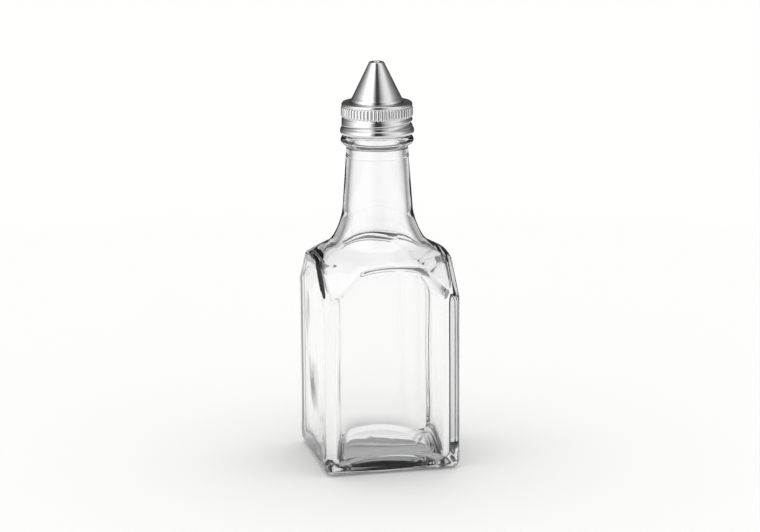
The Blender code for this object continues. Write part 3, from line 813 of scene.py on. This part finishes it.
# %% Fire-polished soda-lime glass
# The fire polish gives the eye a clear, wet-looking surface whose reflections bend slightly.
RIPPLE_MM = 9.0
GLASS_IOR = 1.52
ABSORPTION = 14.0
glass, tree, shader = new_material("fire_polished_soda_lime_glass")
shader.inputs["Base Color"].default_value = linear("#FFFFFF")
shader.inputs["Roughness"].default_value = 0.0
shader.inputs["IOR"].default_value = GLASS_IOR
shader.inputs["Transmission Weight"].default_value = 1.0
place_node = add_node(tree, "ShaderNodeTexCoord")
ripple = add_node(tree, "ShaderNodeTexNoise", {"noise_dimensions": "3D"},
                  {"Scale": 1.0 / (RIPPLE_MM * MM), "Detail": 1.0, "Roughness": 0.4},
                  {"Vector": place_node.outputs["Object"]})
bump = add_node(tree, "ShaderNodeBump", None, {"Strength": 0.35, "Distance": 0.00012},
                {"Height": ripple.outputs["Fac"]})
tree.links.new(bump.outputs["Normal"], shader.inputs["Normal"])
absorb = add_node(tree, "ShaderNodeVolumeAbsorption", None,
                  {"Color": linear("#D2D7D6"), "Density": ABSORPTION})
tree.links.new(absorb.outputs["Volume"], tree.nodes["Material Output"].inputs["Volume"])
finish_piece(bottle, glass, "bottle", "glass_bottle", 40.0)

# %% [markdown]
# ## The screw band
#
# The band is drawn from thin sheet, knurled and thread-rolled on the neck's own pattern, and
# its bottom edge is curled into a hem. It could be bent up from sheet with a thickness modifier,
# but one closed section with the sheet's own thickness gives the hem and the rolled hole as
# well. Then the skirt is pressed in along the thread, and the grip is pressed out into 56 ribs
# whose lower ends are round.

# %% Section of the band
SHEET = 0.4
THREAD_GAP = 0.35
SKIRT_GAP = 0.65
BAND_RADIUS = ROOT_RADIUS + THREAD_HEIGHT + THREAD_GAP + SHEET
RIB_COUNT = 56
RIB_STEPS = 10
RIB_CREST = 14.75
RIB_VALLEY = 14.25
RIB_FOOT_Z = 143.8
RIB_HEAD_Z = 148.2
# Heights up the skirt and how many rings lead to each, close together where the ribs end.
SKIRT_STOPS = ((RIB_FOOT_Z - 0.6, 30), (RIB_FOOT_Z + 1.2, 9), (RIB_HEAD_Z - 0.8, 4), (RIB_HEAD_Z + 0.3, 6))
HEM_RADIUS = 0.8
HEM_HALF_HEIGHT = 1.4
HEM_CENTRE = (14.4, BEAD_TOP_Z + SKIRT_GAP + HEM_HALF_HEIGHT)
HEM_FILLET = 0.3
HEM_FILLET_RISE = 0.35
RIM_ROUND = 1.0
RIM_EASE = 0.35
RIM_WIDTH = 0.8
HOLE_RADIUS = 11.0
ROLL_RADIUS = 0.4
DISH_DEPTH = 0.15
BELOW_RIM = 0.5

rim = BAND_RADIUS - RIM_ROUND
section = [(BAND_RADIUS - SHEET, HEM_CENTRE[1] - HEM_HALF_HEIGHT / 2.0)]
section += [(HEM_CENTRE[0] + HEM_RADIUS * out, HEM_CENTRE[1] + HEM_HALF_HEIGHT * up)
            for out, up in arc(0.0, 0.0, 1.0, -100.0, 72.0, 16)]
section += arc(BAND_RADIUS + HEM_FILLET, section[-1][1] + HEM_FILLET_RISE, HEM_FILLET, 235.0, 180.0, 3)
skirt_foot = section[-1][1]
for stop, steps in SKIRT_STOPS:
    section += [(BAND_RADIUS, z) for z in between(section[-1][1], stop, steps)]
section += arc(rim, BAND_TOP_Z - RIM_ROUND, RIM_ROUND, 0.0, 90.0, 8)
section += arc(rim - RIM_EASE, BAND_TOP_Z - RIM_EASE, RIM_EASE, 80.0, 130.0, 2)
dish_z = BAND_TOP_Z - DISH_DEPTH
section += [(rim - RIM_WIDTH, dish_z), (HOLE_RADIUS + 2.0 * ROLL_RADIUS + RIM_EASE, dish_z)]
section += arc(HOLE_RADIUS + ROLL_RADIUS, BAND_TOP_Z - ROLL_RADIUS, ROLL_RADIUS, 50.0, 180.0, 7)
section += [(HOLE_RADIUS, BAND_TOP_Z - SHEET - DISH_DEPTH), (rim, BAND_TOP_Z - SHEET)]
section += arc(rim, BAND_TOP_Z - RIM_ROUND, RIM_ROUND - SHEET, 90.0, 0.0, 4)[1:]
section += [(BAND_RADIUS - SHEET, z) for z in between(RIB_HEAD_Z - BELOW_RIM, RIB_FOOT_Z, 2)]
section += [(BAND_RADIUS - SHEET, z) for z in between(RIB_FOOT_Z, skirt_foot, 26)]
band = turn_section("screw_band_fine", section, RIB_COUNT * RIB_STEPS)
print(len(section), "points in the band's section")

# %% Press the thread and the ribs
RIB_END_ROUND = 1.1
RIB_FOOT_FADE = 0.4
RIB_HEAD_FADE = 0.6
ZONE_FADE = 0.5
ZONE_FOOT_Z = RIB_FOOT_Z - 0.9
ZONE_HEAD_Z = RIB_HEAD_Z + 0.3
PRESS_TOP_Z = RIB_HEAD_Z + 0.2
WALL_TOLERANCE = 0.01


def rib_share(angle, z):
    """The knurl's height at a direction and height, and how much of the wall it takes over."""
    across = 2.0 * abs((angle / TURN * RIB_COUNT) % 1.0 - 0.5)
    crown = math.sqrt(max(0.0, 1.0 - across * across))
    zone = smooth_step((z - ZONE_FOOT_Z) / ZONE_FADE) * smooth_step((ZONE_HEAD_Z - z) / ZONE_FADE)
    foot = smooth_step((z - RIB_FOOT_Z - RIB_END_ROUND * (1.0 - crown)) / RIB_FOOT_FADE)
    return crown * foot * smooth_step((RIB_HEAD_Z - z) / RIB_HEAD_FADE), zone


def pressed_radius(radius, angle, z):
    """The band's wall after thread rolling and knurling."""
    share, zone = rib_share(angle, z)
    outside = radius > BAND_RADIUS - SHEET / 2.0
    if outside and zone > 0.0:
        ribbed = RIB_VALLEY + share * (RIB_CREST - RIB_VALLEY)
        radius += zone * (ribbed - radius)
    return radius - groove_drop(angle, z)


number, direction, place = stations_of(band)
for index, angle in enumerate(direction):
    radius, z = math.hypot(place[index, 0], place[index, 1]) / MM, place[index, 2] / MM
    if radius > BAND_RADIUS - SHEET - WALL_TOLERANCE and skirt_foot <= z <= PRESS_TOP_Z:
        radius = pressed_radius(radius, angle, z) * MM
        place[index, :2] = radius * math.cos(angle), radius * math.sin(angle)
band.data.vertices.foreach_set("co", place.ravel())
band.data.update()
print(RIB_COUNT, "ribs of", RIB_STEPS, "points")

# %% [markdown]
# ## Bright rolled steel
#
# The band is thin steel sheet, rolled bright and left unpainted. The rolls leave faint lines
# round it, and handling leaves a slight haze, so its roughness wavers a little. Bare steel
# reflects a little over sixty per cent of the light, nearly without colour. One noise stretched
# round the band draws the lines, because an image wrapped round it would show a seam.

# %% Bright rolled steel
# The bright rolls give the eye a clear reflection with thin streaks round the band. The real
# lines are under a tenth of a millimetre apart, and are drawn several times coarser to show.
ROLL_LINE_MM = 0.35
HAZE_MM = 6.0
LINE_STRETCH = 60.0
BAND_ROUGHNESS = (0.08, 0.14)
band_steel, tree, shader = new_material("bright_rolled_steel")
shader.inputs["Metallic"].default_value = 1.0
where = add_node(tree, "ShaderNodeTexCoord")
stretch = add_node(tree, "ShaderNodeMapping", {"vector_type": "POINT"},
                   {"Scale": (LINE_STRETCH, LINE_STRETCH, 1.0 / (ROLL_LINE_MM * MM))},
                   {"Vector": where.outputs["Object"]})
lines = add_node(tree, "ShaderNodeTexNoise", None, {"Scale": 1.0, "Detail": 3.0, "Roughness": 0.6},
                 {"Vector": stretch.outputs["Vector"]})
haze = add_node(tree, "ShaderNodeTexNoise", None, {"Scale": 1.0 / (HAZE_MM * MM), "Detail": 4.0},
                {"Vector": where.outputs["Object"]})
tone = add_node(tree, "ShaderNodeValToRGB", None, None, {"Fac": haze.outputs["Fac"]})
tone.color_ramp.elements[0].color = linear("#CECECF")
tone.color_ramp.elements[1].color = linear("#DCDCDC")
tree.links.new(tone.outputs["Color"], shader.inputs["Base Color"])
rough = add_node(tree, "ShaderNodeMapRange", None,
                 {"To Min": BAND_ROUGHNESS[0], "To Max": BAND_ROUGHNESS[1]},
                 {"Value": lines.outputs["Fac"]})
tree.links.new(rough.outputs["Result"], shader.inputs["Roughness"])
bump = add_node(tree, "ShaderNodeBump", None, {"Strength": 0.05, "Distance": 0.00003},
                {"Height": lines.outputs["Fac"]})
tree.links.new(bump.outputs["Normal"], shader.inputs["Normal"])
finish_piece(band, band_steel, "band", "screw_band", 50.0)

# %% [markdown]
# ## The pour cone
#
# The spout is spun from a disc: a straight cone with its tip rolled over so that the last drop
# breaks off cleanly, and a flange at its foot that stays under the band. A cone primitive with
# a thickness would lack the rolled tip and the flange, so it is turned on the lathe instead. A
# closed section with the sheet's thickness gives the outside, the inside and the open tip.

# %% Section of the cone
CONE_SHEET = 0.5
CONE_FOOT_RADIUS = 10.6
CONE_FOOT_Z = 150.65
CONE_LEAN = 0.489
TIP_ROLL = 0.85
TIP_INSET = 1.1
TIP_THROAT = 1.0
FOOT_ROUND = 0.8
FOOT_FILLET = 0.3
FOOT_RISE = 0.4
FOOT_DROP = 0.05
CONE_STEPS = 192
FLANGE_RADIUS = (cone_high.x - cone_low.x) / 2.0 / MM
FLANGE_GAP = 0.3
FLANGE_TOP_Z = BAND_TOP_Z - SHEET - FLANGE_GAP
FLANGE_UNDER_Z = cone_low.z / MM
FLANGE_EASE = 0.1
MOUTH_ROUND = 0.5


def cone_radius(z):
    """Outer radius of the spout's straight side."""
    return CONE_FOOT_RADIUS - (z - CONE_FOOT_Z) * CONE_LEAN


tip_z = TIP_Z - TIP_ROLL
tip_r = cone_radius(tip_z) - TIP_ROLL * TIP_INSET
slant = CONE_SHEET * math.hypot(1.0, CONE_LEAN)
section = arc(tip_r, tip_z, TIP_ROLL, 205.0, 25.0, 16)
section += [(cone_radius(z), z) for z in between(section[-1][1], CONE_FOOT_Z + FOOT_RISE, 12)]
section += arc(CONE_FOOT_RADIUS - FOOT_ROUND, CONE_FOOT_Z - FOOT_DROP, FOOT_ROUND, 20.0, 0.0, 3)
section += arc(CONE_FOOT_RADIUS + FOOT_FILLET, FLANGE_TOP_Z + FOOT_FILLET, FOOT_FILLET, 180.0, 270.0, 4)
section += [(FLANGE_RADIUS - FLANGE_EASE, FLANGE_TOP_Z), (FLANGE_RADIUS, FLANGE_TOP_Z - FLANGE_EASE)]
section += [(FLANGE_RADIUS, FLANGE_UNDER_Z + FLANGE_EASE), (FLANGE_RADIUS - FLANGE_EASE, FLANGE_UNDER_Z)]
inner = CONE_FOOT_RADIUS - CONE_SHEET
section += arc(inner + MOUTH_ROUND, FLANGE_UNDER_Z + MOUTH_ROUND, MOUTH_ROUND, 270.0, 180.0, 4)
section += [(inner, CONE_FOOT_Z)]
section += [(cone_radius(z) - slant, z) for z in between(CONE_FOOT_Z, tip_z - TIP_THROAT, 6)]
cone = turn_section("pour_cone_fine", section, CONE_STEPS)
print(len(section), "points in the cone's section")

# %% [markdown]
# ## Spun stainless steel
#
# A cone spun on a lathe is finished with an abrasive pad held against it, which leaves hundreds
# of fine scratches that all run round it. They spread each reflection up and down the cone but
# not sideways. That is anisotropy, with the tangent taken round the axis. The real scratches
# are a few hundredths of a millimetre apart, and are drawn four times coarser to show.

# %% Spun and brushed stainless steel
# The pad's scratches give the eye a satin sheen that fans out up and down the cone.
SCRATCH_MM = 0.16
SCRATCH_STRETCH = 40.0
CONE_ROUGHNESS = (0.09, 0.15)
CONE_ANISOTROPY = 0.5
cone_steel, tree, shader = new_material("spun_brushed_stainless_steel")
shader.inputs["Metallic"].default_value = 1.0
shader.inputs["Anisotropic"].default_value = CONE_ANISOTROPY
where = add_node(tree, "ShaderNodeTexCoord")
stretch = add_node(tree, "ShaderNodeMapping", {"vector_type": "POINT"},
                   {"Scale": (SCRATCH_STRETCH, SCRATCH_STRETCH, 1.0 / (SCRATCH_MM * MM))},
                   {"Vector": where.outputs["Object"]})
scratch = add_node(tree, "ShaderNodeTexNoise", None, {"Scale": 1.0, "Detail": 5.0, "Roughness": 0.7},
                   {"Vector": stretch.outputs["Vector"]})
tone = add_node(tree, "ShaderNodeValToRGB", None, None, {"Fac": scratch.outputs["Fac"]})
tone.color_ramp.elements[0].position = 0.3
tone.color_ramp.elements[1].position = 0.7
tone.color_ramp.elements[0].color = linear("#D0D0D1")
tone.color_ramp.elements[1].color = linear("#DEDEDE")
tree.links.new(tone.outputs["Color"], shader.inputs["Base Color"])
rough = add_node(tree, "ShaderNodeMapRange", None,
                 {"To Min": CONE_ROUGHNESS[0], "To Max": CONE_ROUGHNESS[1]},
                 {"Value": scratch.outputs["Fac"]})
tree.links.new(rough.outputs["Result"], shader.inputs["Roughness"])
bump = add_node(tree, "ShaderNodeBump", None, {"Strength": 0.07, "Distance": 0.00003},
                {"Height": scratch.outputs["Fac"]})
tree.links.new(bump.outputs["Normal"], shader.inputs["Normal"])
round_axis = add_node(tree, "ShaderNodeTangent", {"direction_type": "RADIAL", "axis": "Z"})
tree.links.new(round_axis.outputs["Tangent"], shader.inputs["Tangent"])
finish_piece(cone, cone_steel, "spout", "pour_cone", 40.0)

# %% [markdown]
# ## The sealing ring
#
# Between the flange and the lip lies a flat ring of pale silicone. It is hidden until the band
# is unscrewed. A moulded ring has slightly rounded edges and a matt skin that lets a little
# light in. A bevelled tube would do as well, but the lathe is there and rounds the edges too.

# %% Gasket
GASKET_INSET = 0.3
GASKET_STEPS = 128
inner_r, outer_r = BORE_RADIUS + GASKET_INSET, (gasket_high.x - gasket_low.x) / 2.0 / MM
low_z, high_z = gasket_low.z / MM, gasket_high.z / MM
EDGE = 0.25
section = arc(outer_r - EDGE, low_z + EDGE, EDGE, -90.0, 0.0, 3)
section += arc(outer_r - EDGE, high_z - EDGE, EDGE, 0.0, 90.0, 3)
section += arc(inner_r + EDGE, high_z - EDGE, EDGE, 90.0, 180.0, 3)
section += arc(inner_r + EDGE, low_z + EDGE, EDGE, 180.0, 270.0, 3)
gasket = turn_section("sealing_gasket_fine", section, GASKET_STEPS)
print(f"gasket {high_z - low_z:.1f} mm thick")

# %% Moulded silicone
# The mould's matt skin gives the eye a soft, slightly see-through ring. Its real grain is a few
# hundredths of a millimetre, and is drawn much coarser to show.
SKIN_MM = 0.8
silicone, tree, shader = new_material("moulded_pale_silicone")
shader.inputs["Roughness"].default_value = 0.55
shader.inputs["Subsurface Weight"].default_value = 0.2
shader.inputs["Subsurface Radius"].default_value = (0.0008, 0.0008, 0.0007)
where = add_node(tree, "ShaderNodeTexCoord")
skin = add_node(tree, "ShaderNodeTexNoise", None, {"Scale": 1.0 / (SKIN_MM * MM), "Detail": 3.0},
                {"Vector": where.outputs["Object"]})
tone = add_node(tree, "ShaderNodeValToRGB", None, None, {"Fac": skin.outputs["Fac"]})
tone.color_ramp.elements[0].color = linear("#D9D8D2")
tone.color_ramp.elements[1].color = linear("#E6E5E0")
tree.links.new(tone.outputs["Color"], shader.inputs["Base Color"])
bump = add_node(tree, "ShaderNodeBump", None, {"Strength": 0.2, "Distance": 0.00005},
                {"Height": skin.outputs["Fac"]})
tree.links.new(bump.outputs["Normal"], shader.inputs["Normal"])
finish_piece(gasket, silicone, "spout", "sealing_gasket", 40.0)
